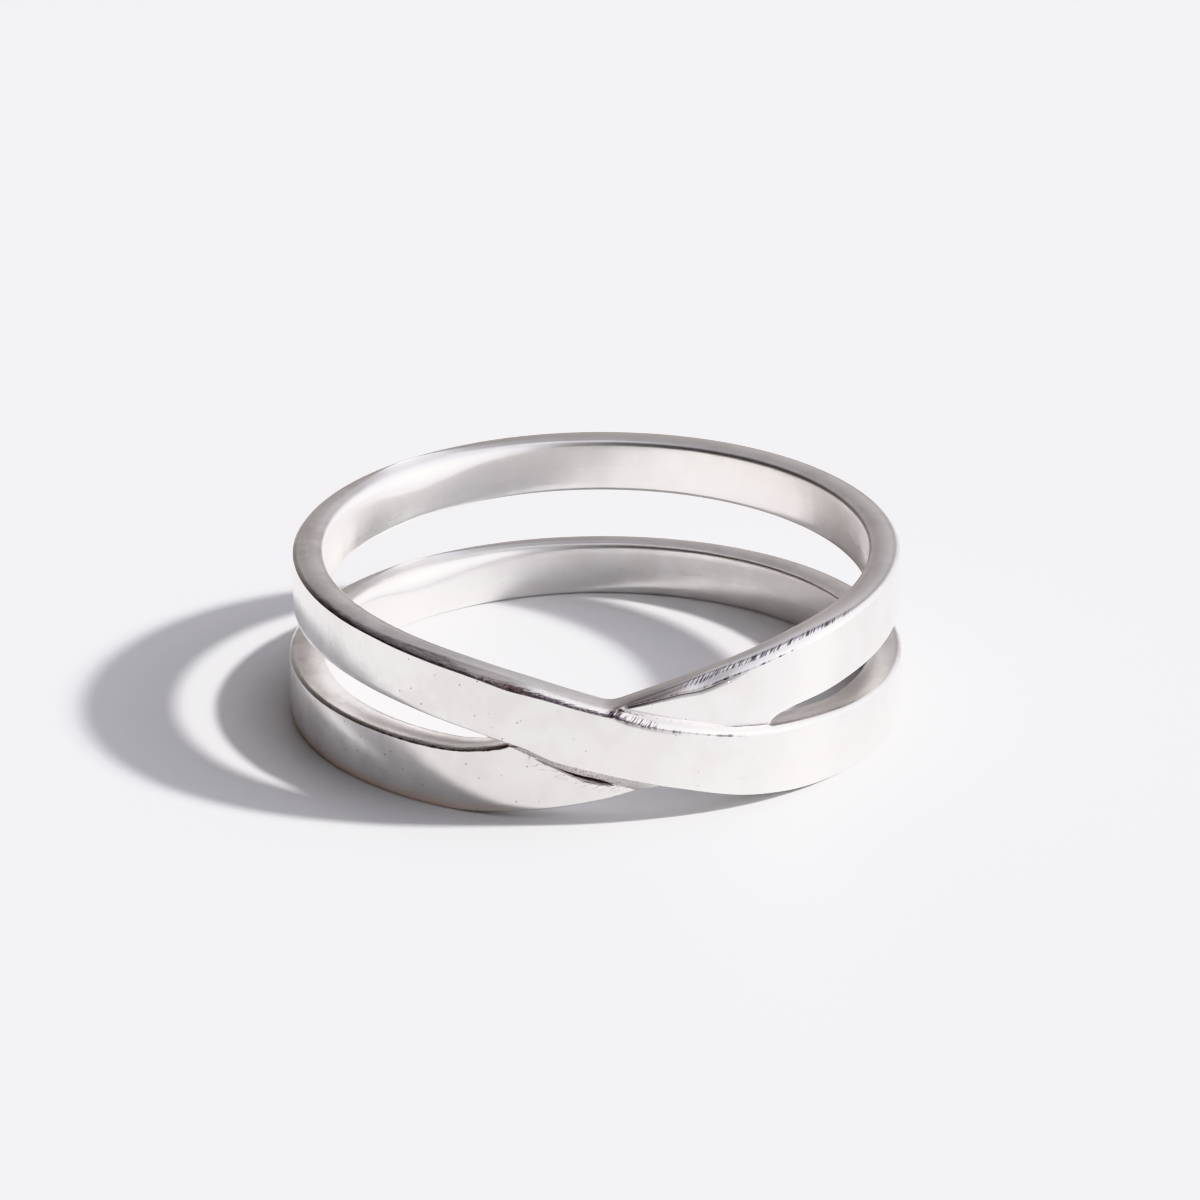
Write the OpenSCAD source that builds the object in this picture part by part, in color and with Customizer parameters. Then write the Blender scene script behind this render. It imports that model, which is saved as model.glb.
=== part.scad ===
/* [Finger hole] */
// Radius of the finger hole
hole_r = 8.7; // [8.2:0.1:9.6]

/* [Strip] */
// Thickness of the flat strip
strip_t = 1; // [0.8:0.05:1.3]
// Width of the strip at the front
strip_w_front = 2.1; // [1.8:0.05:2.3]
// Width of the strip at the back
strip_w_back = 1.8; // [1.6:0.05:2.1]
// Height of the whole ring as it lies
ring_h = 5.45; // [5.2:0.05:6]

/* [Edges] */
// Rounding of the two inner edges of the strip
inner_soft = 0.1; // [0.05:0.01:0.15]
// Rounding of the lower outer edge of the strip
foot_soft = 0.1; // [0.05:0.01:0.15]

/* [Hidden] */

// Half of the turn that holds the crossing, in degrees
front_half = 64;
// Angle between sections in the front, and round the back
front_step = 2;
back_step = 4;
// How far the rough inner side stands inside the hole before the hole is cut
bore_stock = 0.3;
// The hole runs past both rims by this much
run_out = 1;
// The upper half of the hole comes out this much wider in radius than the lower half
upper_cut = 0.01;

// One row for each section of a strand, from the back, round the left, through the
// crossing at angle 0 and round the right to the back again.
// angle: degrees from the front, towards the right
// lower, upper: how high that edge stands, from 0 in the lower band to 1 in the upper band
// proud: how far the outer face stands beyond the strip's thickness
// soft: rounding of the upper outer edge
OVER = [
  //angle lower  upper  proud  soft
  [-180,  1.000, 1.000,  0.00, 0.12],
  [ -90,  1.000, 0.990,  0.00, 0.12],
  [ -60,  0.990, 0.955,  0.00, 0.12],
  [ -45,  0.955, 0.920,  0.00, 0.14],
  [ -30,  0.880, 0.865,  0.02, 0.18],
  [ -15,  0.745, 0.745,  0.07, 0.22],
  [   0,  0.520, 0.545,  0.15, 0.24],
  [  15,  0.320, 0.330,  0.20, 0.24],
  [  30,  0.120, 0.165,  0.16, 0.20],
  [  45,  0.025, 0.085,  0.08, 0.16],
  [  60,  0.000, 0.020,  0.06, 0.14],
  [  90,  0.000, 0.000,  0.07, 0.12],
  [ 180,  0.000, 0.000, -0.12, 0.12]
];
UNDER = [
  //angle lower  upper  proud  soft
  [-180,  0.000, 0.000, -0.12, 0.12],
  [ -90,  0.000, 0.000,  0.16, 0.12],
  [ -60,  0.000, 0.000,  0.10, 0.12],
  [ -45,  0.000, 0.002,  0.03, 0.13],
  [ -30,  0.000, 0.015, -0.02, 0.15],
  [ -15,  0.070, 0.150, -0.10, 0.18],
  [   0,  0.200, 0.460, -0.20, 0.20],
  [  15,  0.420, 0.665, -0.20, 0.22],
  [  30,  0.690, 0.810, -0.10, 0.22],
  [  45,  0.872, 0.910, -0.03, 0.18],
  [  60,  0.935, 0.950,  0.00, 0.15],
  [  90,  0.985, 0.985,  0.00, 0.12],
  [ 180,  1.000, 1.000,  0.00, 0.12]
];

ANGLE = 0;
LOWER = 1;
UPPER = 2;
PROUD = 3;
SOFT = 4;

// Rise of column c for each degree between row i and the next
function rise_after(rows, i, c) =
  (rows[i + 1][c] - rows[i][c]) / (rows[i + 1][ANGLE] - rows[i][ANGLE]);

// Slope of column c at row i: level at the ends and where the rise turns, so that
// the curve never swings past its rows, and between the two rises elsewhere
function slope_at(rows, i, c) =
  (i == 0 || i == len(rows) - 1) ? 0
  : let(left = rise_after(rows, i - 1, c), right = rise_after(rows, i, c))
    (left * right <= 0) ? 0 : 2 * left * right / (left + right);

// The last row that starts at or before angle a
function row_before(rows, a, i = 0) =
  (i + 2 < len(rows) && rows[i + 1][ANGLE] <= a) ? row_before(rows, a, i + 1) : i;

// Column c at angle a, on a smooth curve through the rows
function value_at(rows, a, c) =
  let(
    i = row_before(rows, a),
    span = rows[i + 1][ANGLE] - rows[i][ANGLE],
    t = (a - rows[i][ANGLE]) / span,
    from = rows[i][c],
    to = rows[i + 1][c],
    leave = slope_at(rows, i, c) * span,
    arrive = slope_at(rows, i + 1, c) * span
  )
  from + leave * t
  + (3 * (to - from) - 2 * leave - arrive) * t * t
  + (2 * (from - to) + leave + arrive) * t * t * t;

// Width of the strip at angle a
function strip_w(a) = strip_w_back + (strip_w_front - strip_w_back) * pow(cos(a / 2), 2);

// Outline of the strip's section at angle a, as radius and height
function section_at(rows, a) =
  let(
    w = strip_w(a),
    low = (ring_h - w) * value_at(rows, a, LOWER),
    top = w + (ring_h - w) * value_at(rows, a, UPPER),
    face = hole_r + strip_t + value_at(rows, a, PROUD),
    soft = value_at(rows, a, SOFT),
    round_mid = soft * (1 - cos(45)),
    inner = inner_soft + bore_stock
  )
  [
    [hole_r - bore_stock, low + inner],
    [hole_r + inner_soft, low],
    [face - foot_soft, low],
    [face, low + foot_soft],
    [face, top - soft],
    [face - round_mid, top - round_mid],
    [face - soft, top],
    [hole_r + inner_soft, top],
    [hole_r - bore_stock, top - inner]
  ];

// Angles of the sections, closer together in the front
function section_angles() = concat(
  [for (a = [-180 : back_step : -front_half - back_step]) a],
  [for (a = [-front_half : front_step : front_half]) a],
  [for (a = [front_half + back_step : back_step : 180]) a]
);

// A point of a section, turned to its place round the finger
function place(p, a) = [p[0] * sin(a), -p[0] * cos(a), p[1]];

// One strand of the strip, once round the finger
module strand(rows) {
  angles = section_angles();
  sections = [for (a = angles) section_at(rows, a)];
  m = len(sections[0]);
  n = len(angles);
  points = [for (k = [0 : n - 1], p = sections[k]) place(p, angles[k])];
  sides = [
    for (k = [0 : n - 2], j = [0 : m - 1])
      let(next = (j + 1) % m)
      [k * m + j, k * m + next, (k + 1) * m + next, (k + 1) * m + j]
  ];
  start = [[for (j = [m - 1 : -1 : 0]) j]];
  end = [[for (j = [0 : m - 1]) (n - 1) * m + j]];
  polyhedron(points, concat(sides, start, end), convexity = 8);
}

// The hole, bored to the middle of the ring from each rim: one cut finishes the lower
// band, the other the upper band, and they meet only inside the crossing
module finger_hole() {
  translate([0, 0, -run_out])
    cylinder(h = ring_h / 2 + run_out, r = hole_r, $fn = 120);
  translate([0, 0, ring_h / 2])
    cylinder(h = ring_h / 2 + run_out, r = hole_r + upper_cut, $fn = 120);
}

// The silver strip, wound twice round the finger and soldered where it crosses
module crossover_band() {
  color("silver")
    difference() {
      union() {
        strand(OVER);
        strand(UNDER);
      }
      finger_hole();
    }
}

crossover_band();
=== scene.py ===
import math
import bmesh
import bpy
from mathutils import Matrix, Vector, noise


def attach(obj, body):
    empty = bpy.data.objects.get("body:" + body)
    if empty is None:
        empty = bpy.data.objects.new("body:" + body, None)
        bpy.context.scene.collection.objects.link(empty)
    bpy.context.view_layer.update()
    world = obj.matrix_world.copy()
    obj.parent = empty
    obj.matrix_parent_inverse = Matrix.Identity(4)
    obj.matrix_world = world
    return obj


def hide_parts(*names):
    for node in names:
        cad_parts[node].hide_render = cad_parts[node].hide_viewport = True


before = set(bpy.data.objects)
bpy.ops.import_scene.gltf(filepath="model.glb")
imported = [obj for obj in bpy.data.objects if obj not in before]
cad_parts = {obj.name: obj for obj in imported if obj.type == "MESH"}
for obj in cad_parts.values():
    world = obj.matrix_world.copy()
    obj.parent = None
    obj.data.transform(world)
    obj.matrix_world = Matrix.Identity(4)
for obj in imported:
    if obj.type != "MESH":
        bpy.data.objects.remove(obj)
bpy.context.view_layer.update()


# The strip
# A flat silver strip wound in two bands round the finger. Its upper strand crosses over
# the lower one in front, where the two are soldered, filed and polished.
MM = 0.001
HOLE_R = 8.7
STRIP_T = 1.0
STRIP_W_FRONT = 2.1
STRIP_W_BACK = 1.8
RING_H = 5.45
FOOT_SOFT = 0.06
FACE_BOW = 0.02
RIM_DOME = 0.035
UNEVENNESS = 0.006

# Angle from the front, lower and upper edge as shares of the way up, how far the face
# stands proud of the strip's thickness
ANGLE, LOWER, UPPER, PROUD = range(4)
OVER = (
    (-180, 1.000, 1.000, 0.00),
    (-90, 1.000, 0.990, 0.00),
    (-60, 0.990, 0.955, 0.00),
    (-45, 0.955, 0.920, 0.00),
    (-30, 0.880, 0.857, 0.02),
    (-15, 0.745, 0.738, 0.07),
    (-8, 0.618, 0.655, 0.11),
    (0, 0.520, 0.545, 0.15),
    (15, 0.320, 0.330, 0.20),
    (30, 0.120, 0.165, 0.16),
    (45, 0.025, 0.085, 0.08),
    (60, 0.000, 0.020, 0.06),
    (90, 0.000, 0.000, 0.07),
    (180, 0.000, 0.000, -0.12),
)
UNDER = (
    (-180, 0.000, 0.000, -0.12),
    (-90, 0.000, 0.000, 0.16),
    (-60, 0.000, 0.000, 0.10),
    (-45, 0.000, 0.002, 0.03),
    (-30, 0.000, 0.015, -0.02),
    (-15, 0.070, 0.150, -0.10),
    (0, 0.200, 0.460, -0.20),
    (15, 0.420, 0.665, -0.20),
    (30, 0.705, 0.810, -0.10),
    (45, 0.872, 0.910, -0.03),
    (60, 0.935, 0.950, 0.00),
    (90, 0.985, 0.985, 0.00),
    (180, 1.000, 1.000, 0.00),
)

# Angle, height and depth of the bevel filed on each strand's upper outer edge, rounding
# of the edges inside the hole, and how much further the rims are worn down towards it
OVER_BEVEL, OVER_CUT, UNDER_BEVEL, UNDER_CUT, INNER, WORN = 1, 2, 3, 4, 5, 6
EDGES = (
    (-180, 0.12, 0.14, 0.12, 0.14, 0.17, 0.02),
    (-158, 0.12, 0.14, 0.12, 0.14, 0.15, 0.22),
    (-139, 0.12, 0.14, 0.12, 0.14, 0.14, 0.60),
    (-122, 0.12, 0.14, 0.12, 0.14, 0.13, 0.22),
    (-90, 0.10, 0.14, 0.11, 0.14, 0.12, 0.00),
    (-60, 0.10, 0.18, 0.12, 0.16, 0.08, 0.00),
    (-47, 0.10, 0.24, 0.13, 0.18, 0.06, 0.00),
    (-40, 0.13, 0.34, 0.14, 0.20, 0.06, 0.00),
    (-30, 0.16, 0.43, 0.15, 0.22, 0.06, 0.00),
    (-22, 0.19, 0.44, 0.15, 0.21, 0.06, 0.00),
    (-15, 0.24, 0.42, 0.14, 0.18, 0.06, 0.00),
    (-7, 0.18, 0.33, 0.04, 0.05, 0.06, 0.00),
    (1, 0.18, 0.30, 0.04, 0.05, 0.06, 0.00),
    (9, 0.21, 0.30, 0.14, 0.18, 0.06, 0.00),
    (15, 0.20, 0.30, 0.23, 0.22, 0.06, 0.00),
    (20, 0.20, 0.28, 0.34, 0.32, 0.06, 0.00),
    (25, 0.19, 0.26, 0.30, 0.39, 0.06, 0.00),
    (34, 0.20, 0.26, 0.25, 0.34, 0.06, 0.00),
    (48, 0.17, 0.20, 0.23, 0.29, 0.07, 0.00),
    (60, 0.13, 0.16, 0.16, 0.18, 0.09, 0.00),
    (90, 0.12, 0.14, 0.12, 0.14, 0.12, 0.00),
    (180, 0.12, 0.14, 0.12, 0.14, 0.17, 0.02),
)
# How much of a bevel is rounded over
BEVEL_ROUND = 0.45
# A bevel's height wanders by this share, in waves counted per degree, but not at the back
BEVEL_WANDER = 0.08
WANDER_WAVES = 0.16
WANDER_ENDS = (50, 85)
# The file's chatter: its usual depth, coarse and fine waves per degree, and where it ends
CHATTER_DEPTH = 0.35
CHATTER_WAVES = (0.9, 2.3)
FINE_CHATTER = 0.9
CHATTER_ENDS = (42, 55)

# How round and how blunt the solder leaves the ends of the gap on the left and on the
# right, and where they close: 0 on the lower strand, 0.5 halfway between the two
LEFT_GAP_END = (0.03, 0.0, 0.5)
RIGHT_GAP_END = (0.16, 0.15, 0.0)
# A gap that is open to this half height is no longer shaped by the solder, and the rims
# beside it have their full rounding from the second one
SOLDERED_HALF = 0.4
ROUNDED_HALF = 0.1
# How round the foot and the crown of the crossing are, and over what difference in height
# one strand's bevel passes into the other's at the crown
FOOT_CORNER_R = 0.06
CROWN_CORNER_R = 0.20
CROWN_CHANGE = 0.06
# Sections round the finger, and how evenly they are spread: 1 is even, 0 all in front
STATIONS = 840
FRONT_CROWDING = 0.45


def slope_at(rows, i, column):
    """Level at the ends and where the rise turns, so that the curve stays within its rows."""
    if i in (0, len(rows) - 1):
        return 0.0
    before, here, after = rows[i - 1], rows[i], rows[i + 1]
    left = (here[column] - before[column]) / (here[ANGLE] - before[ANGLE])
    right = (after[column] - here[column]) / (after[ANGLE] - here[ANGLE])
    return 0.0 if left * right <= 0 else 2 * left * right / (left + right)


def value_at(rows, angle, column):
    """A column at an angle, on a smooth curve through the rows."""
    i = max(k for k in range(len(rows) - 1) if rows[k][ANGLE] <= angle or k == 0)
    span = rows[i + 1][ANGLE] - rows[i][ANGLE]
    t = (angle - rows[i][ANGLE]) / span
    start, end = rows[i][column], rows[i + 1][column]
    leave, arrive = slope_at(rows, i, column) * span, slope_at(rows, i + 1, column) * span
    bend = 3 * (end - start) - 2 * leave - arrive
    twist = 2 * (start - end) + leave + arrive
    return start + leave * t + bend * t ** 2 + twist * t ** 3


def ease(x, start, end):
    """Rises smoothly from 0 at start to 1 at end."""
    t = min(max((x - start) / (end - start), 0.0), 1.0)
    return t * t * (3 - 2 * t)


def between(x, start, full, last, end):
    """Rises from start to full, and falls away again from last to end."""
    return ease(x, start, full) * (1 - ease(x, last, end))


def strand_at(rows, angle):
    """Lower edge, upper edge and face radius of a strand, in millimetres."""
    front = math.cos(math.radians(angle) / 2) ** 2
    width = STRIP_W_BACK + (STRIP_W_FRONT - STRIP_W_BACK) * front
    low = (RING_H - width) * value_at(rows, angle, LOWER)
    top = width + (RING_H - width) * value_at(rows, angle, UPPER)
    return low, top, HOLE_R + STRIP_T + value_at(rows, angle, PROUD)


def bevel_at(angle, column):
    """Height of a bevel, a little uneven along its length."""
    wander = noise.noise(Vector((angle * WANDER_WAVES, column, 0.5)))
    height = value_at(EDGES, angle, column)
    return height * (1 + BEVEL_WANDER * wander * (1 - ease(abs(angle), *WANDER_ENDS)))


def chatter_at(angle):
    """How far the file has bitten at one angle, from none to all of its depth."""
    coarse_waves, fine_waves = CHATTER_WAVES
    coarse = noise.noise(Vector((angle * coarse_waves, 3.0, 0.5)))
    fine = noise.noise(Vector((angle * fine_waves, 5.0, 7.5)))
    depth = max(0.0, CHATTER_DEPTH + coarse + FINE_CHATTER * fine)
    return depth * (1 - ease(abs(angle), *CHATTER_ENDS))


def solder_gap(lower_top, upper_low, end):
    """The two edges of a gap, drawn together into a round end, and half its height."""
    roundness, bluntness, closing_share = end
    half = (upper_low - lower_top) / 2
    soldered = 1 - ease(half, 0.0, SOLDERED_HALF)
    end_r = roundness * soldered
    closing = lower_top + 2 * half * closing_share
    half += bluntness * soldered
    if half <= end_r:
        return lower_top, upper_low, 0.0
    half = math.sqrt(half ** 2 - end_r ** 2)
    middle = closing + (1 - 2 * closing_share) * half
    return middle - half, middle + half, half


def rounded_max(a, b, reach):
    """The larger of two heights, with the corner between them filled."""
    near = max(reach - abs(a - b), 0.0) / reach
    return max(a, b) + near ** 2 * reach / 4


def station_values(angle):
    """Everything that the sweep needs to know at one angle round the finger."""
    over_low, over_top, over_face = strand_at(OVER, angle)
    under_low, under_top, under_face = strand_at(UNDER, angle)
    over_bevel = bevel_at(angle, OVER_BEVEL)
    under_bevel = bevel_at(angle, UNDER_BEVEL)
    over_cut = bevel_at(angle, OVER_CUT)
    under_cut = bevel_at(angle, UNDER_CUT)
    under_top, over_low, half_left = solder_gap(under_top, over_low, LEFT_GAP_END)
    over_top, under_low, half_right = solder_gap(over_top, under_low, RIGHT_GAP_END)
    crown = rounded_max(over_top, under_top, CROWN_CORNER_R)
    foot = -rounded_max(-over_low, -under_low, FOOT_CORNER_R)
    lift = crown - max(over_top, under_top)
    drop = foot - min(over_low, under_low)
    upper_share = ease(under_top - over_top, -CROWN_CHANGE, CROWN_CHANGE)
    over_top, under_top = over_top + lift, under_top + lift
    over_low, under_low = over_low + drop, under_low + drop
    half = max(half_left, half_right)
    middle = (min(over_top, under_top) + max(over_low, under_low)) / 2
    return {
        "angle": angle,
        "over_low": over_low,
        "over_top": over_top,
        "over_face": over_face,
        "over_bevel": over_bevel,
        "over_cut": over_cut,
        "under_low": under_low,
        "under_top": under_top,
        "under_face": under_face,
        "under_bevel": under_bevel,
        "under_cut": under_cut,
        "foot": foot,
        "crown": crown,
        "split_low": middle - half,
        "split_high": middle + half,
        "open": 1.0 if half > 0 else 0.0,
        "slot_share": min(1.0, half / ROUNDED_HALF),
        "inner": value_at(EDGES, angle, INNER),
        "worn": value_at(EDGES, angle, WORN),
        "chatter": chatter_at(angle),
        "crown_bevel": over_bevel + (under_bevel - over_bevel) * upper_share,
        # The solder below the upper strand's lower edge, and the crevice at its foot
        "solder": 0.08 + 0.14 * ease(angle, -19, -12) + 0.17 * ease(angle, -11, -2),
        "crevice": 0.04 * between(angle, -13, -10, 0, 4) + 0.12 * between(angle, -9, -5, 0, 3.8),
        "crevice_width": (0.024 + 0.036 * ease(angle, -8, -1)) * (1 - 0.6 * ease(angle, 0, 3.6)),
        # The crevice under the lower strand's rim just right of the V, and the burr
        # along the lower border of the bevel there
        "lip": 0.05 * between(angle, 4, 6, 22, 34),
        "burr": 0.025 * between(angle, 1, 6, 20, 34),
    }


def crowded(u):
    """Angles from the back round to the back, closer together in the front."""
    return 180 * (FRONT_CROWDING * u + (1 - FRONT_CROWDING) * u ** 3)


rows = [station_values(crowded(2 * k / STATIONS - 1)) for k in range(STATIONS + 1)]
path_mesh = bpy.data.meshes.new("strip_path")
path_mesh.from_pydata(
    [
        (
            HOLE_R * MM * math.sin(math.radians(row["angle"])),
            -HOLE_R * MM * math.cos(math.radians(row["angle"])),
            row["foot"] * MM,
        )
        for row in rows
    ],
    [(k, k + 1) for k in range(STATIONS)],
    [],
)
for name in rows[0]:
    layer = path_mesh.attributes.new(name, "FLOAT", "POINT")
    layer.data.foreach_set("value", [row[name] for row in rows])
ring = bpy.data.objects.new("crossover_strip", path_mesh)
bpy.context.scene.collection.objects.link(ring)


class Value:
    """A socket that takes part in sums: each operator adds a Math node."""

    def __init__(self, graph, socket):
        self.graph = graph
        self.socket = socket

    def math(self, operation, *others):
        inputs = dict(enumerate((self, *others)))
        return self.graph.node("ShaderNodeMath", {"operation": operation}, inputs)

    def __add__(self, other):
        return self.math("ADD", other)

    def __sub__(self, other):
        return self.math("SUBTRACT", other)

    def __mul__(self, other):
        return self.math("MULTIPLY", other)

    def __truediv__(self, other):
        return self.math("DIVIDE", other)

    def __neg__(self):
        return self.math("MULTIPLY", -1.0)

    def __abs__(self):
        return self.math("ABSOLUTE")

    def __gt__(self, other):
        return self.math("GREATER_THAN", other)

    def __lt__(self, other):
        return self.math("LESS_THAN", other)

    def __pow__(self, other):
        return self.math("POWER", other)

    def __rsub__(self, other):
        return -self + other

    def __rtruediv__(self, other):
        return self ** -1.0 * other

    __radd__ = __add__
    __rmul__ = __mul__

    def at_least(self, other):
        return self.math("MAXIMUM", other)

    def at_most(self, other):
        return self.math("MINIMUM", other)

    def held(self, low=0.0, high=1.0):
        return self.at_least(low).at_most(high)

    def eased(self, start, end):
        settings = {"interpolation_type": "SMOOTHSTEP"}
        values = {"Value": self, "From Min": start, "From Max": end}
        return self.graph.node("ShaderNodeMapRange", settings, values)

    def bell(self, middle, width):
        """1 at the middle, falling away smoothly on both sides."""
        away = (self - middle) / width
        return (-(away * away)).math("EXPONENT")


class Graph:
    """A node tree that is written as expressions."""

    def __init__(self, tree):
        self.tree = tree

    def node(self, kind, settings=None, values=None, out=0):
        made = self.tree.nodes.new(kind)
        for name, setting in (settings or {}).items():
            if name == "stops":
                ramp = made.color_ramp
                while len(ramp.elements) < len(setting):
                    ramp.elements.new(1.0)
                for element, (position, colour) in zip(ramp.elements, setting):
                    element.position = position
                    element.color = (*colour, 1)
            else:
                setattr(made, name, setting)
        for name, value in (values or {}).items():
            target = made.inputs[name]
            if isinstance(value, Value):
                self.tree.links.new(value.socket, target)
            elif value is not None:
                target.default_value = value
        return Value(self, made.outputs[out])

    def blend(self, share, first, second):
        """The first colour, and the second where the share is 1."""
        values = {0: share, 6: first, 7: second}
        return self.node("ShaderNodeMix", {"data_type": "RGBA"}, values, out=2)


# The sweep: both layers of the strip as closed outlines carried round the finger, with
# the solder, the crevices and the bites of the file at the crossing

# A strand that has no face at some height, or no solder there, is put this far inside
OUT_OF_REACH = 9
# Heights closer than this are the same, and points closer than the second are merged
SAME_HEIGHT = 0.0002
SAME_POINT = 0.0004
# Room left for the points beside a border, the solder's ledge on an edge and its fillets
BORDER_ROOM = 0.05
LEDGE = 0.015
CREVICE_BELOW = 0.10
CREVICE_ABOVE = 0.07
TOP_FILLET_ROOM = 0.13
TOP_FILLET = 0.11
LEAST_STEP = 0.02
SEAM_BLEND = 0.02
# A strand counts as the outer one from this far behind the other
NEARLY_OUTER = 0.01
# How the points of a bevel and of a rounded top crowd towards their border
BEVEL_CROWDING = 1.3
TOP_CROWDING = 1.4
# The crevice below the rim and the burr at the V's step: how far down and how wide
LIP_DOWN, LIP_WIDTH = 0.02, 0.03
BURR_DOWN, BURR_WIDTH = 0.01, 0.03
# The bite of the file near a bevel's border: how far up the bevel, how wide and how deep
BITE_AT, BITE_WIDTH, BITE_FROM = 0.08, 0.06, 0.05
BITE_DEPTH = 0.02
# The small pit in the V: where, over how many degrees, and how high and deep
PIT_ANGLE = 4.0
PIT_TURN = 0.5
PIT_SIZE = 0.06

sweep = bpy.data.node_groups.new("strip_sweep", "GeometryNodeTree")
for name, kind in (
    ("Path", "NodeSocketGeometry"),
    ("Hole radius", "NodeSocketFloat"),
    ("Foot rounding", "NodeSocketFloat"),
    ("Face bow", "NodeSocketFloat"),
    ("Rim dome", "NodeSocketFloat"),
    ("Unevenness", "NodeSocketFloat"),
    ("Silver", "NodeSocketMaterial"),
):
    sweep.interface.new_socket(name, in_out="INPUT", socket_type=kind)
sweep.interface.new_socket("Ring", in_out="OUTPUT", socket_type="NodeSocketGeometry")
g = Graph(sweep)
given = sweep.nodes.new("NodeGroupInput")
size = {socket.name: Value(g, socket) for socket in given.outputs if socket.name}


def part_of(j, start, count):
    """How far point j is along one part of the outline, from 0 to 1."""
    return ((j - start) / count).held()


def reach_of(z, low, top, face, bevel, cut):
    """Radius of one strand's outer face at height z, or far inside where it has none, and
    how far up its bevel that is."""
    foot = size["Foot rounding"]
    up = ((z - top + bevel) / bevel).held()
    down = ((low + foot - z) / foot).held()
    rounded = 1 - (1 - up * up).math("SQRT")
    share = up * (1 - BEVEL_ROUND) + rounded * BEVEL_ROUND
    middle = ((z - low) / (top - low)).held() * 2 - 1
    worn = cut * share + foot * (1 - (1 - down * down).math("SQRT"))
    worn = worn + size["Face bow"] * middle * middle
    beyond = (z > top + SAME_HEIGHT) + (z < low - SAME_HEIGHT)
    return face - worn - OUT_OF_REACH * beyond, share


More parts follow.
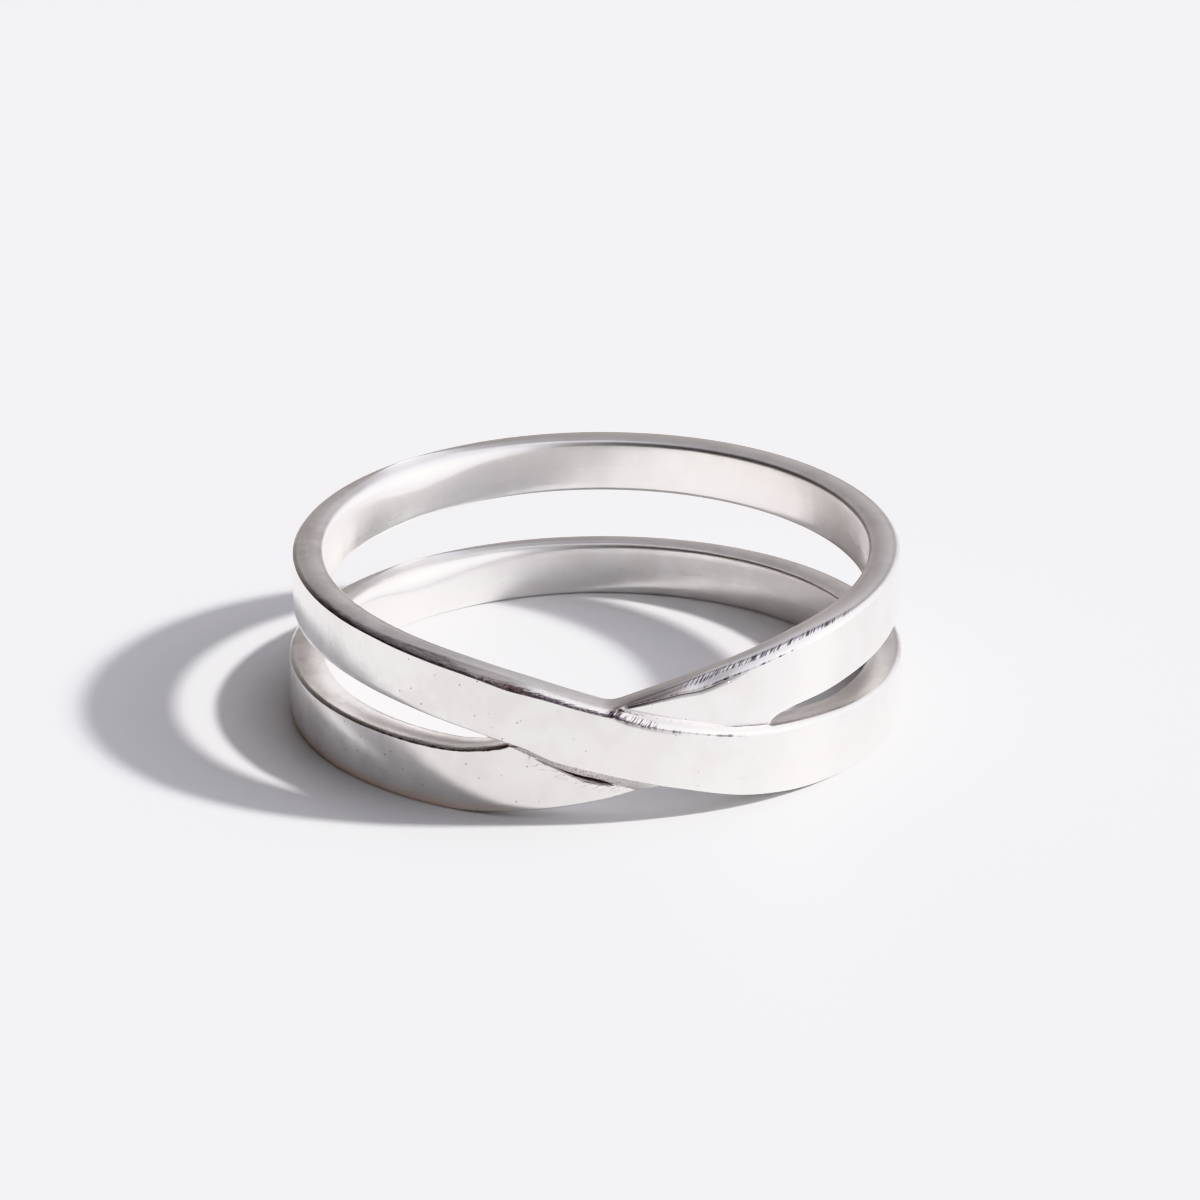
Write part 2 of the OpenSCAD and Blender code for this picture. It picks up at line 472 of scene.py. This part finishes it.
def swept_layer(upper):
    """One layer of the ring: the lower from foot to split, the upper from split to crown."""
    outline = [("foot_round", 4), ("face_a", 9)]
    if upper:
        outline += [("border", 4), ("bevel", 8), ("ledge", 1), ("fillet", 3)]
    else:
        outline += [("crevice", 7), ("fillet", 5), ("ledge", 1), ("edge_round", 4)]
    outline += [
        ("face_b", 9), ("brink", 3), ("top_round", 9), ("top_flat", 6), ("top_inner", 4),
        ("wall", 8), ("foot_inner", 4), ("foot_flat", 6),
    ]
    starts, total = {}, 0
    for name, count in outline:
        starts[name] = (total, count)
        total += count
    grid = g.node(
        "GeometryNodeMeshGrid", None,
        {"Size X": STATIONS, "Size Y": total, "Vertices X": STATIONS + 1, "Vertices Y": total + 1},
    )
    where = g.node("GeometryNodeInputPosition")
    split_xyz = g.node("ShaderNodeSeparateXYZ", None, {0: where})
    station = (split_xyz + STATIONS / 2).math("ROUND")
    j = Value(g, split_xyz.socket.node.outputs[1]) + total / 2

    def at_station(name):
        read = g.node("GeometryNodeInputNamedAttribute", {"data_type": "FLOAT"}, {"Name": name})
        values = {"Geometry": size["Path"], "Value": read, "Index": station}
        return g.node("GeometryNodeSampleIndex", {"data_type": "FLOAT"}, values)

    v = {name: at_station(name) for name in rows[0]}
    along = {name: part_of(j, *starts[name]) for name, _ in outline}
    bottom = v["split_high"] if upper else v["foot"]
    top = v["crown"] if upper else v["split_low"]
    foot = size["Foot rounding"]
    solder_foot = v["over_low"] - v["solder"]
    step = v["over_top"] - v["over_bevel"]
    over_low, over_top = v["over_low"], v["over_top"]
    if upper:
        marks = (step - BORDER_ROOM, step, over_top, over_top + LEDGE, over_top + TOP_FILLET_ROOM)
        end_bevel = v["crown_bevel"]
    else:
        marks = (
            solder_foot - CREVICE_BELOW, solder_foot + CREVICE_ABOVE,
            over_low - LEDGE, over_low, over_low + foot,
        )
        end_bevel = v["over_bevel"].at_least(v["under_bevel"])
    start = (bottom + foot).at_most((bottom + top) * 0.5)
    end = (top - end_bevel).at_least((bottom + top) * 0.5)
    brink = (end - BORDER_ROOM).at_least(start)
    knots = [start] + [mark.at_least(start).at_most(brink) for mark in marks] + [brink, end]
    z = bottom + (start - bottom) * (1 - (along["foot_round"] * (math.pi / 2)).math("COSINE"))
    for (name, _), low, high in zip(outline[1:8], knots, knots[1:]):
        share = along[name]
        if name == "bevel":
            share = (share ** BEVEL_CROWDING * (math.pi / 2)).math("SINE")
        z = z + (high - low) * share
    z = z + (top - end) * (along["top_round"] ** TOP_CROWDING * (math.pi / 2)).math("SINE")
    height = z + (bottom - z) * (along["foot_flat"] > 0)
    parts = ("low", "top", "face", "bevel", "cut")
    over, over_share = reach_of(height, *(v["over_" + part] for part in parts))
    under, under_share = reach_of(height, *(v["under_" + part] for part in parts))
    on_over = over > under - NEARLY_OUTER
    bevel_rise = over_share * on_over + under_share * (1 - on_over)
    apart = OUT_OF_REACH * v["open"]
    over_edge = v["over_face"] - foot - size["Face bow"]
    low_slope = (over_edge - v["under_face"]).at_least(LEAST_STEP) / v["solder"]
    low_fill = over_edge - abs(over_low - height) * low_slope - apart
    top_edge = v["over_face"] - v["over_cut"]
    top_slope = (top_edge - v["under_face"]).at_least(LEAST_STEP) / TOP_FILLET
    top_fill = top_edge - abs(height - over_top) * top_slope - apart
    reach = over.math("SMOOTH_MAX", under, SEAM_BLEND).at_least(low_fill).at_least(top_fill)
    crevice = height.bell(solder_foot, v["crevice_width"])
    lip = height.bell(v["under_top"] - v["under_bevel"] - LIP_DOWN, LIP_WIDTH)
    burr = height.bell(step - BURR_DOWN, BURR_WIDTH)
    pit = height.bell(over_top, PIT_SIZE) * v["angle"].bell(PIT_ANGLE, PIT_TURN)
    border = bevel_rise.bell(BITE_AT, BITE_WIDTH) * bevel_rise.eased(0, BITE_FROM)
    reach = reach - crevice * v["crevice"] - lip * v["lip"] - burr * v["burr"]
    reach = reach - pit * PIT_SIZE - border * v["chatter"] * BITE_DEPTH

    inner = v["inner"]
    rolled = inner + v["worn"]
    soft_top = rolled if upper else rolled * v["slot_share"]
    soft_foot = inner * v["slot_share"] if upper else inner
    dome = size["Rim dome"] if upper else size["Rim dome"] * v["slot_share"]
    turn_top = along["top_inner"] * (math.pi / 2)
    turn_foot = along["foot_inner"] * (math.pi / 2)
    hole = size["Hole radius"] + soft_top * (1 - turn_top.math("SINE"))
    hole = hole + soft_foot * (1 - turn_foot.math("COSINE"))
    outer_share = 1 - along["top_flat"] + along["foot_flat"]
    radius = reach * outer_share + hole * (1 - outer_share)
    z = z - soft_top * (1 - turn_top.math("COSINE")) - soft_foot * turn_foot.math("SINE")
    z = z - (top - bottom - soft_top - soft_foot) * along["wall"]
    across_rim = along["top_flat"] * 2 - 1
    on_top = along["top_round"] * (1 - along["top_inner"])
    z = z - dome * across_rim * across_rim * on_top

    turn = v["angle"] * (math.pi / 180)
    place = g.node(
        "ShaderNodeCombineXYZ", None,
        {
            0: radius * turn.math("SINE") * MM,
            1: radius * turn.math("COSINE") * -MM,
            2: z * MM,
        },
    )
    shut = "foot_flat" if upper else "top_flat"
    begin, count = starts[shut]
    inside = (j > begin - 0.25) * (j < begin + count + 0.25)
    mesh = g.node("GeometryNodeStoreNamedAttribute", {"domain": "POINT"},
                  {"Geometry": grid, "Name": "shut", "Value": inside * (1 - v["open"])})

    # What the silver's finish follows: bevels, rims, the bore, the solder and its crevices
    crossing = 1 - v["open"]
    low_seam = crossing * (over_low > v["under_low"] + LEAST_STEP)
    high_seam = crossing * (v["under_top"] > over_top + LEAST_STEP)
    bevel = (bevel_rise > 0.004) * (1 - along["top_flat"] * 6).held()
    solder = (height > solder_foot) * (height < over_low + 0.001) * low_seam
    below_seam = (solder_foot - height).eased(0.5, 0.1) * (height < solder_foot) * low_seam
    fuzz = (height - over_top).eased(0.16, 0.02) * (height > over_top) * high_seam
    dark = crevice * (v["crevice"] * 14).at_most(1) * low_seam
    dark = dark.at_least(lip * v["lip"] * 20).at_least(pit)
    dark = dark.at_least(burr * v["burr"] * (0.3 + v["chatter"]) * 40)
    outside = outer_share > 0.999
    for name, value in (
        ("bevel", bevel),
        ("bevel_rise", bevel_rise),
        ("dent", border * (0.45 + v["chatter"])),
        ("on_over", on_over),
        ("below_seam", below_seam * outside),
        ("foot_edge", (height - v["foot"]).eased(0.42, 0.05) * outside),
        ("rim", along["top_flat"].eased(0, 0.1) * (1 - along["wall"])),
        ("bore", along["top_inner"] * (1 - along["foot_flat"])),
        ("solder", solder * outside),
        ("fuzz", fuzz * outside),
        ("crevice", dark.held() * outside),
    ):
        mesh = g.node("GeometryNodeStoreNamedAttribute", {"domain": "POINT"},
                      {"Geometry": mesh, "Name": name, "Value": value})
    wrap = g.node(
        "ShaderNodeCombineXYZ", None,
        {0: turn * radius, 1: z - radius + HOLE_R + STRIP_T, 2: v["angle"]},
    )
    mesh = g.node("GeometryNodeStoreNamedAttribute", {"domain": "CORNER", "data_type": "FLOAT_VECTOR"},
                  {"Geometry": mesh, "Name": "wrap", "Value": wrap})
    mesh = g.node("GeometryNodeSetPosition", None, {"Geometry": mesh, "Position": place})
    shut_now = g.node("GeometryNodeInputNamedAttribute", {"data_type": "FLOAT"}, {"Name": "shut"})
    return g.node("GeometryNodeDeleteGeometry", {"domain": "FACE"},
                  {"Geometry": mesh, "Selection": shut_now > 0.99})


joined = g.node("GeometryNodeJoinGeometry", None, {"Geometry": swept_layer(False)})
sweep.links.new(swept_layer(True).socket, joined.socket.node.inputs[0])
merged = g.node("GeometryNodeMergeByDistance", None, {"Geometry": joined, "Distance": SAME_POINT * MM})
where = g.node("GeometryNodeInputPosition")
scaled = g.node("ShaderNodeVectorMath", {"operation": "SCALE"}, {0: where, "Scale": 1 / MM})
waves = g.node("ShaderNodeTexNoise", None, {"Vector": scaled, "Scale": 0.35, "Detail": 1.0})
normal = g.node("GeometryNodeInputNormal")
offset = g.node("ShaderNodeVectorMath", {"operation": "SCALE"},
                {0: normal, "Scale": (waves - 0.5) * size["Unevenness"] * MM})
uneven = g.node("GeometryNodeSetPosition", None, {"Geometry": merged, "Offset": offset})
smooth = g.node("GeometryNodeSetShadeSmooth", None, {"Geometry": uneven, "Shade Smooth": True})
whole = g.node("GeometryNodeRealizeInstances", None, {"Geometry": smooth})
dressed = g.node("GeometryNodeSetMaterial", None, {"Geometry": whole, "Material": size["Silver"]})
result = sweep.nodes.new("NodeGroupOutput")
sweep.links.new(dressed.socket, result.inputs[0])

# The silver: polished faces, a satin bore and rims, bevels left from the file, solder
# dulled with tarnish, and fine scratches and pits, with painted light and shade laid
# over some of them
POLISH = (0.775, 0.757, 0.74, 1)
POLISH_PAINTED_LIGHT_RIGHT = (0.85, 0.835, 0.82, 1)
POLISH_PAINTED_LIGHT_LEFT = (0.93, 0.91, 0.895, 1)
CLOUDED = (0.70, 0.675, 0.645, 1)
BORE_PAINTED_LIGHT_LEFT = (0.96, 0.94, 0.925, 1)
BORE_PAINTED_SHADE_RIGHT = (0.76, 0.715, 0.70, 1)
RIM_PAINTED_LIGHT = (1.0, 0.97, 0.95, 1)
FOOT_PAINTED_WARM_REFLECTION = (0.90, 0.70, 0.56, 1)
SOLDER_PAINTED_LIGHT = (1.0, 0.955, 0.95, 1)
SOLDER_DULL = (0.42, 0.36, 0.345, 1)
BURNT_SOLDER = (0.13, 0.105, 0.115, 1)
DULL_FACET = (0.58, 0.50, 0.48, 1)
SATIN_BEVEL = (0.42, 0.385, 0.37, 1)
BURNT_AND_PAINTED_SHADE_LEFT = (0.20, 0.125, 0.12, 1)
BURNT_AND_PAINTED_SHADE_AT_V = (0.08, 0.055, 0.08, 1)
FILED_AND_PAINTED_SHADE_LEFT = (0.15, 0.125, 0.125, 1)
FILED_AND_PAINTED_SHADE_RIGHT = (0.075, 0.06, 0.075, 1)
DIRT = (0.07, 0.05, 0.048, 1)
BUMP_HEIGHT = 0.004

silver = bpy.data.materials.new("polished_silver")
silver.use_nodes = True
s = Graph(silver.node_tree)
shader = silver.node_tree.nodes["Principled BSDF"]


def attribute(name, out=2):
    """A value that the sweep has stored on the mesh."""
    return s.node("ShaderNodeAttribute", {"attribute_name": name}, out=out)


def split(vector):
    """The three values of a vector."""
    outputs = s.node("ShaderNodeSeparateXYZ", None, {0: vector}).socket.node.outputs
    return [Value(s, socket) for socket in outputs]


def joined_up(x, y, z):
    return s.node("ShaderNodeCombineXYZ", None, {0: x, 1: y, 2: z})


def grain(along, across, detail=2.0, roughness=0.5):
    """Noise with its own number of waves per millimetre along and across the strip."""
    at = joined_up(here_x * along, here_y * along, rise * across)
    values = {"Vector": at, "Scale": 1.0, "Detail": detail, "Roughness": roughness}
    return s.node("ShaderNodeTexNoise", None, values)


here = s.node("ShaderNodeTexCoord", out=3)
here = s.node("ShaderNodeVectorMath", {"operation": "SCALE"}, {0: here, "Scale": 1 / MM})
here_x, here_y, _ = split(here)
arc, rise, angle = split(attribute("wrap", out=1))
bevel = attribute("bevel")
bevel_rise = attribute("bevel_rise")
dent = attribute("dent")
on_over = attribute("on_over")
below_seam = attribute("below_seam")
foot_edge = attribute("foot_edge")
rim = attribute("rim")
bore = attribute("bore")
solder = attribute("solder")
fuzz = attribute("fuzz")
crevice = attribute("crevice")

mottle = grain(0.8, 0.8, 3.0, 0.6)
smear = grain(1.1, 0.12, 1.5, 0.5)
streaks = grain(1.3, 16.0, 2.0, 0.6)
specks = grain(15.0, 15.0, 2.0, 0.7)
dashes = grain(3.0, 26.0, 2.0, 0.6)
scratches = grain(0.9, 26.0, 1.0, 0.5)
hatch_at = joined_up(arc * 15.0 - rise * 7.0, rise * 1.2, 5.0)
hatch = s.node("ShaderNodeTexNoise", None,
               {"Vector": hatch_at, "Scale": 1.0, "Detail": 1.5, "Roughness": 0.5})
spots = s.node("ShaderNodeTexVoronoi", {"voronoi_dimensions": "2D"},
               {"Vector": joined_up(arc * 1.5 + rise * 0.8, rise * 1.9 - arc * 0.6, 0.0), "Scale": 1.0})
spot_kind = Value(s, spots.socket.node.outputs["Color"])

# Where each finish lies: dark strokes, satin and burnt metal on the bevels to the left of
# the V, their lower parts also darkened as a painted reflection of the dark near side,
# file marks on those to its right, pits on the faces, wrinkles below the solder
clear = (1 - bevel) * (1 - rim)
left_bevel = bevel * on_over * angle.eased(8, 3)
left_bevel = (left_bevel + bevel * (1 - on_over) * angle.eased(-8, -12)) * angle.eased(-85, -60)
ragged = bevel_rise + (dashes - 0.5) * 0.9
dark_up_to = on_over * (1.25 - angle.eased(-33, -24) * 0.8) + (1 - on_over) * 0.62
# Painted shade: the dark strokes on the lower part of the bevel are file marks, darkened further for
# the dark near side they reflect
filed_and_painted_dark_bevel = left_bevel * (dark_up_to - ragged).eased(-0.08, 0.12) * angle.eased(-10, -22)
filed_and_painted_dark_bevel = filed_and_painted_dark_bevel * angle.eased(-110, -60)
grey_bevel = (left_bevel - filed_and_painted_dark_bevel) * on_over * angle.eased(-40, -30) * angle.eased(-9, -17)
# Painted shade: the burnt purple on the lower part of the bevel is made darker for the dark near side
# it reflects
purple_up_to = 0.48 - angle.eased(-16, -9) * 0.12
burnt_and_painted_dark_bevel = left_bevel * (purple_up_to - ragged).eased(-0.1, 0.12) * angle.eased(-24, -17)
glitter = 0.15 + on_over * angle.eased(-27, -19) * 0.85 + (1 - on_over) * angle.eased(-48, -36) * 0.7
right_bevel = bevel * angle.eased(-1, 4) * angle.eased(62, 50)
step_hatch = right_bevel * on_over * angle.eased(13, 9) * bevel_rise.eased(0.85, 0.5)
rim_facet = right_bevel * (1 - on_over) * angle.eased(19, 15)
hatch_from = 0.35 + angle.eased(18, 26) * 0.17
rim_hatch = right_bevel * (1 - on_over) * angle.eased(14, 20)
rim_hatch = rim_hatch * (bevel_rise - hatch_from).eased(0, 0.15)
hatched = (step_hatch + rim_hatch).held()
pits = spots.eased(0.06, 0.03) * spot_kind.eased(0.48, 0.8) * clear * (1 - bore)
wrinkles = abs(grain(1.8, 6.5, 1.0) - 0.5).eased(0.03, 0.008) * specks.eased(0.45, 0.55)
wrinkles = wrinkles * below_seam * angle.eased(-16, -12)

# The colours, laid over each other from the polish to the dirt, with painted light and
# shade among them
# Painted light: the polish is lighter at the left end and on the right side, standing in for the light
# those faces reflect
left_end = here_x.eased(-4, -8)
right_end = here_x.eased(0, 5)
polish_with_painted_light = s.blend(right_end, POLISH, POLISH_PAINTED_LIGHT_RIGHT)
polish_with_painted_light = s.blend(left_end, polish_with_painted_light, POLISH_PAINTED_LIGHT_LEFT)
colour = s.blend(mottle.eased(0.4, 0.65) * 0.55, polish_with_painted_light, CLOUDED)
# Painted light and shade in the bore: lighter on the left, darker on the right
colour = s.blend(bore * here_x.eased(1, -5) * 0.8, colour, BORE_PAINTED_LIGHT_LEFT)
colour = s.blend(bore * here_x.eased(2, 7) * 0.7, colour, BORE_PAINTED_SHADE_RIGHT)
# Painted light: the rims on the right are made lighter, standing in for the bright room they reflect
painted_lit_rim = rim * (1 - bore) * angle.eased(2, 6) * angle.eased(75, 50)
colour = s.blend(painted_lit_rim * 0.9, colour, RIM_PAINTED_LIGHT)
# Painted light: the solder left of the V is made lighter, standing in for light its downward slope does
# not reflect
colour = s.blend(solder * angle.eased(4, -4) * 0.8, colour, SOLDER_PAINTED_LIGHT)
dull = solder * (0.05 + specks.eased(0.5, 0.62) * 0.6) * angle.eased(9, 4)
colour = s.blend(dull.held(), colour, SOLDER_DULL)
burnt = fuzz * (0.6 + specks.eased(0.45, 0.6) * 0.35)
colour = s.blend(burnt.held(), colour, BURNT_SOLDER)
colour = s.blend(rim_facet * 0.7, colour, DULL_FACET)
colour = s.blend((grey_bevel * 0.85).held(), colour, SATIN_BEVEL)
burnt_and_painted_shade = s.blend(angle.eased(-17, -11), BURNT_AND_PAINTED_SHADE_LEFT, BURNT_AND_PAINTED_SHADE_AT_V)
colour = s.blend((burnt_and_painted_dark_bevel * (0.7 + specks.eased(0.6, 0.45) * 0.3)).held(), colour, burnt_and_painted_shade)
strokes = dashes.eased(0.62, 0.42) * 0.3 + 0.56
grit = specks.eased(0.62, 0.42) * 0.65 + 0.3
# File marks, dents and streaks in their dark colour, with the painted shade of the bevels' lower parts
file_marks_and_painted_shade = filed_and_painted_dark_bevel * (strokes + (grit - strokes) * glitter) * (0.38 + on_over * 0.62)
# Painted shade: the bevel at the V is darkened where a sun glint falls on it
file_marks_and_painted_shade = file_marks_and_painted_shade + hatched * hatch.eased(0.54, 0.45) * 0.9 + bevel * angle.bell(3.3, 1.2) * 0.6
file_marks_and_painted_shade = file_marks_and_painted_shade + dent * left_bevel * 0.8 + dent * right_bevel * (1 - step_hatch) * 0.9
file_marks_and_painted_shade = file_marks_and_painted_shade + rim * (1 - bore) * streaks.eased(0.56, 0.66) * here_y.eased(-4, -7) * 0.16
# The dark colours of the file marks, also used for the painted shade
filed = s.blend(angle.eased(-3, 4), FILED_AND_PAINTED_SHADE_LEFT, FILED_AND_PAINTED_SHADE_RIGHT)
colour = s.blend(file_marks_and_painted_shade.held(), colour, filed)
# Painted reflection: a warm line along the foot of the lower strand on the left
colour = s.blend(foot_edge * here_x.eased(-1.5, -5) * 0.6, colour, FOOT_PAINTED_WARM_REFLECTION)
dirty = crevice * 0.95 + pits * 0.5 + wrinkles * 0.45
colour = s.blend(dirty.held(), colour, DIRT)
s.tree.links.new(colour.socket, shader.inputs["Base Color"])
shader.inputs["Metallic"].default_value = 1.0

# How rough each finish is, from the polished faces to the solder
rough = 0.13 + mottle * 0.05 + left_end * clear * 0.05 + bevel * 0.08 + rim * 0.16
rough = rough + left_bevel * (0.1 + specks.eased(0.4, 0.65) * glitter * 0.3)
rough = rough + bevel * angle.bell(3.3, 1.4) * 0.3
rough = rough + bore * (0.02 + smear * 0.05) + (solder + fuzz) * 0.2 + crevice * 0.2
s.tree.links.new(rough.held(0.05, 0.9).socket, shader.inputs["Roughness"])

# The relief of the file marks, scratches, pits and solder
relief = left_bevel * (specks * glitter * 2.5 + dashes * 0.8) + hatched * hatch * 1.5
relief = relief + (right_bevel - hatched) * streaks * 0.2
relief = relief + rim * streaks * 0.2 + (solder + fuzz) * specks * 2.6
relief = relief + clear * (scratches * 0.12 - pits * 1.5) - wrinkles * 1.2 + bore * smear * 5.0
bump = s.node("ShaderNodeBump", None, {"Strength": 1.0, "Distance": BUMP_HEIGHT * MM, "Height": relief})
s.tree.links.new(bump.socket, shader.inputs["Normal"])

modifier = ring.modifiers.new("sweep", "NODES")
modifier.node_group = sweep
chosen = {
    "Hole radius": HOLE_R, "Foot rounding": FOOT_SOFT, "Face bow": FACE_BOW, "Rim dome": RIM_DOME,
    "Unevenness": UNEVENNESS, "Silver": silver,
}
for item in sweep.interface.items_tree:
    if item.in_out == "INPUT" and item.name in chosen:
        modifier[item.identifier] = chosen[item.name]
evaluated = ring.evaluated_get(bpy.context.evaluated_depsgraph_get())
solid = bpy.data.meshes.new_from_object(evaluated)
ring.modifiers.remove(modifier)
ring.data = solid
solid.name = "crossover_strip"
cleaner = bmesh.new()
cleaner.from_mesh(solid)
bmesh.ops.dissolve_degenerate(cleaner, dist=0.0001 * MM, edges=cleaner.edges)
bmesh.ops.recalc_face_normals(cleaner, faces=cleaner.faces)
cleaner.to_mesh(solid)
cleaner.free()
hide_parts("crossover_band")
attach(ring, "root")


# The table
# A plain pale glossy surface that the ring lies on.
TABLE_WHITE = (0.86, 0.86, 0.865, 1)

bpy.ops.mesh.primitive_plane_add(size=2.0, location=(0, 0, 0))
floor = bpy.context.object
floor.name = "pale_table"
table = bpy.data.materials.new("pale_table")
table.use_nodes = True
top = table.node_tree.nodes["Principled BSDF"]
top.inputs["Base Color"].default_value = TABLE_WHITE
top.inputs["Roughness"].default_value = 0.35
top.inputs["Specular IOR Level"].default_value = 0.3
floor.data.materials.append(table)


# The light
# Low soft sun from the right, and a pale room that is darker above and on the near side.
SUN_FROM = Vector((0.71, 0.0, 0.53))
LOW_LEFT_WALL = (0.45, 0.43, 0.43, 1)
NEAR_WALL = (0.03, 0.027, 0.027, 1)
NEAR_CEILING = (0.03, 0.027, 0.03, 1)
SKYLIGHT = (1.2, 1.2, 1.3, 1)

sun_lamp = bpy.data.lights.new("sun", "SUN")
sun_lamp.energy = 4.4
sun_lamp.angle = math.radians(5.4)
sun_lamp.color = (1.0, 0.985, 0.965)
sun = bpy.data.objects.new("sun", sun_lamp)
sun.location = SUN_FROM
sun.rotation_euler = (-SUN_FROM).to_track_quat("-Z", "Y").to_euler()
bpy.context.scene.collection.objects.link(sun)

world = bpy.data.worlds.new("room")
bpy.context.scene.world = world
world.use_nodes = True
sky = Graph(world.node_tree)
towards = sky.node("ShaderNodeSeparateXYZ", None, {0: sky.node("ShaderNodeTexCoord", out=0)})
away = Value(sky, towards.socket.node.outputs[1])
height = Value(sky, towards.socket.node.outputs[2])


def room_light(across, stops):
    """Light of the room from the dark left (0) to the window on the right (1)."""
    return sky.node("ShaderNodeValToRGB", {"stops": stops}, {0: across * 0.5 + 0.5})


walls = room_light(towards, (
    (0.0, (0.085, 0.075, 0.07)),
    (0.25, (0.24, 0.22, 0.212)),
    (0.5, (0.46, 0.42, 0.415)),
    (0.75, (0.92, 0.91, 0.95)),
    (1.0, (2.1, 2.1, 2.25)),
))
ceiling = room_light(towards + height * 0.25, (
    (0.0, (0.05, 0.045, 0.045)),
    (0.40, (0.08, 0.075, 0.075)),
    (0.52, (0.26, 0.26, 0.28)),
    (0.64, (0.56, 0.56, 0.61)),
    (1.0, (1.6, 1.6, 1.74)),
))


near_side = (-away).eased(0.2, 0.8) * towards.eased(0.5, 0.0)
overhead_near = (-away).eased(0.05, 0.4) * towards.eased(0.4, -0.1)
skylight_share = away.eased(0.05, 0.3) * towards.eased(-0.17, -0.06) * height.eased(0.74, 0.86)
walls = sky.blend(height.eased(0.3, 0.1) * towards.eased(0.3, -0.3) * 0.5, walls, LOW_LEFT_WALL)
walls = sky.blend(near_side * 0.7, walls, NEAR_WALL)
ceiling = sky.blend(overhead_near * 0.8, ceiling, NEAR_CEILING)
ceiling = sky.blend(skylight_share, ceiling, SKYLIGHT)
room = sky.blend(height.eased(0.35, 0.75), walls, ceiling)
background = world.node_tree.nodes["Background"]
world.node_tree.links.new(room.socket, background.inputs["Color"])
background.inputs["Strength"].default_value = 1.0


# The camera
# At the photograph's angle, a little above the ring and in front of it.
PHOTO_SIZE = 1200
EYE_HEIGHT_ANGLE = 0.402228
EYE_DISTANCE = 300.0
FOCAL_PIXELS = 9373.5
ROLL = -0.008418
LOOK_AT = Vector((0.105, 0.0, 3.463))
RING_MIDDLE = 2.724

camera_data = bpy.data.cameras.new("camera")
camera_data.sensor_width = 36.0
camera_data.lens = FOCAL_PIXELS / PHOTO_SIZE * camera_data.sensor_width
camera_data.clip_start = 0.01
camera = bpy.data.objects.new("camera", camera_data)
eye = Vector((0, -EYE_DISTANCE * math.cos(EYE_HEIGHT_ANGLE),
              RING_MIDDLE + EYE_DISTANCE * math.sin(EYE_HEIGHT_ANGLE)))
forward = (LOOK_AT - eye).normalized()
right = forward.cross(Vector((0, 0, 1))).normalized()
up = right.cross(forward)
side = right * math.cos(ROLL) + up * math.sin(ROLL)
above = up * math.cos(ROLL) - right * math.sin(ROLL)
turned = camera.matrix_world.copy()
for row in range(3):
    turned[row][0], turned[row][1], turned[row][2] = side[row], above[row], -forward[row]
    turned[row][3] = eye[row] * MM
camera.matrix_world = turned
bpy.context.scene.collection.objects.link(camera)
bpy.context.scene.camera = camera
bpy.context.scene.view_settings.view_transform = "Khronos PBR Neutral"
